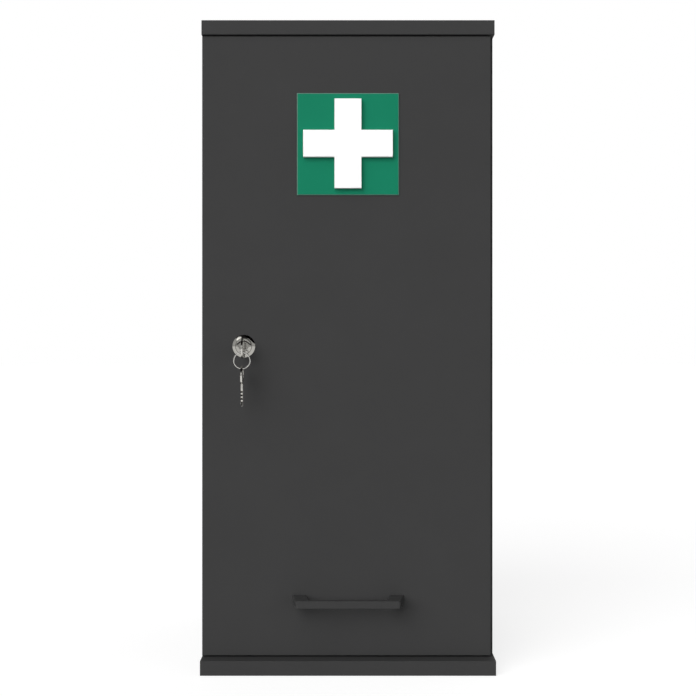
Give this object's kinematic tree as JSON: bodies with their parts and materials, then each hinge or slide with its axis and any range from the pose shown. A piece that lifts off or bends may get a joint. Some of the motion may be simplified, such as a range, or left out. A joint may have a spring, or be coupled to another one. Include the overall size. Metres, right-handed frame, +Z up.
{
  "type": "lockable medicine cabinet",
  "caption": "Lockable medicine cabinet with shelves, one hinged door with a cam lock and hanging keys, a bow handle and a green first-aid cross sign.",
  "frame": {"origin": "middle of the base's underside", "axes": "+Z up, the door faces -Y, its hinges are at +X"},
  "size_m": [0.382, 0.34, 0.85],
  "materials": {
    "board": "chipboard faced with matt anthracite melamine, fine pearl texture, edges banded alike",
    "back_board": "anthracite faced fibreboard and rails",
    "bare_wood": "fluted beech, uncoated",
    "zinc": "zinc plated",
    "hinge_steel": "nickel plated pressed steel",
    "handle_coat": "matt anthracite powder coat",
    "sign_green": "satin green plate with bevelled rim",
    "sign_white": "satin white",
    "lock_chrome": "polished chrome",
    "key_steel": "nickel plated, stamped",
    "ring_steel": "nickel plated wire",
    "bumper": "clear soft buffer"
  },
  "bodies": {
    "cabinet": {"top_panel": "board", "base_panel": "board", "left_side_panel": "board", "right_side_panel": "board", "back_panel": "back_board", "wall_rail_lower": "back_board", "wall_rail_upper": "back_board", "shelf_lower": "board", "shelf_middle": "board", "shelf_upper": "board", "shelf_pins": "zinc", "wooden_dowels": "bare_wood", "cam_bolts": "zinc", "cam_fittings": "zinc", "hinge_plate_lower": "hinge_steel", "hinge_plate_upper": "hinge_steel", "hinge_plate_screws": "zinc", "hinge_arm_lower": "hinge_steel", "hinge_arm_upper": "hinge_steel", "arm_screws": "zinc", "arm_pins": "zinc", "strike_plate": "zinc", "strike_screws": "zinc"},
    "hinge_links": {"hinge_link_lower": "hinge_steel", "hinge_link_upper": "hinge_steel"},
    "door": {"door_panel": "board", "door_handle": "handle_coat", "handle_screws": "zinc", "sign_plate": "sign_green", "sign_cross": "sign_white", "door_bumpers": "bumper", "hinge_cup_lower": "hinge_steel", "hinge_cup_upper": "hinge_steel", "cup_screws": "zinc", "cup_pins": "zinc", "lock_rosette": "lock_chrome", "lock_housing": "lock_chrome", "lock_nut": "zinc"},
    "lock_core": {"lock_plug": "lock_chrome", "lock_cam": "zinc", "cam_screw": "zinc"},
    "key": {"key": "key_steel"},
    "key_ring": {"key_ring": "ring_steel"},
    "spare_key": {"spare_key": "key_steel"}
  },
  "joints": [
    {"name": "link_swing", "type": "hinge", "parent": "cabinet", "child": "hinge_links", "pos_m": [0.155, -0.1292, 0.4254], "axis": [0, 0, 1], "range_deg": [-28.5, 0]},
    {"name": "door_swing", "type": "hinge", "parent": "hinge_links", "child": "door", "pos_m": [0.1765, -0.1308, 0.4254], "axis": [0, 0, 1], "range_deg": [0, 123.5]},
    {"name": "key_turn", "type": "hinge", "parent": "door", "child": "lock_core", "pos_m": [-0.136, -0.1467, 0.425], "axis": [0, 1, 0], "range_deg": [0, 90]},
    {"name": "key_pull", "type": "slide", "parent": "lock_core", "child": "key", "axis": [0, -1, 0], "range_m": [0, 0.03]},
    {"name": "ring_swing", "type": "hinge", "parent": "key", "child": "key_ring", "pos_m": [-0.136, -0.16798, 0.41752], "axis": [-1, 0, 0], "range_deg": [-12, 60]},
    {"name": "spare_key_swing", "type": "hinge", "parent": "key_ring", "child": "spare_key", "pos_m": [-0.136, -0.16798, 0.39672], "axis": [-1, 0, 0], "range_deg": [-8, 60]}
  ],
  "couplings": [
    {"joint": "link_swing", "follows": "door_swing", "ratio": -0.23077}
  ]
}
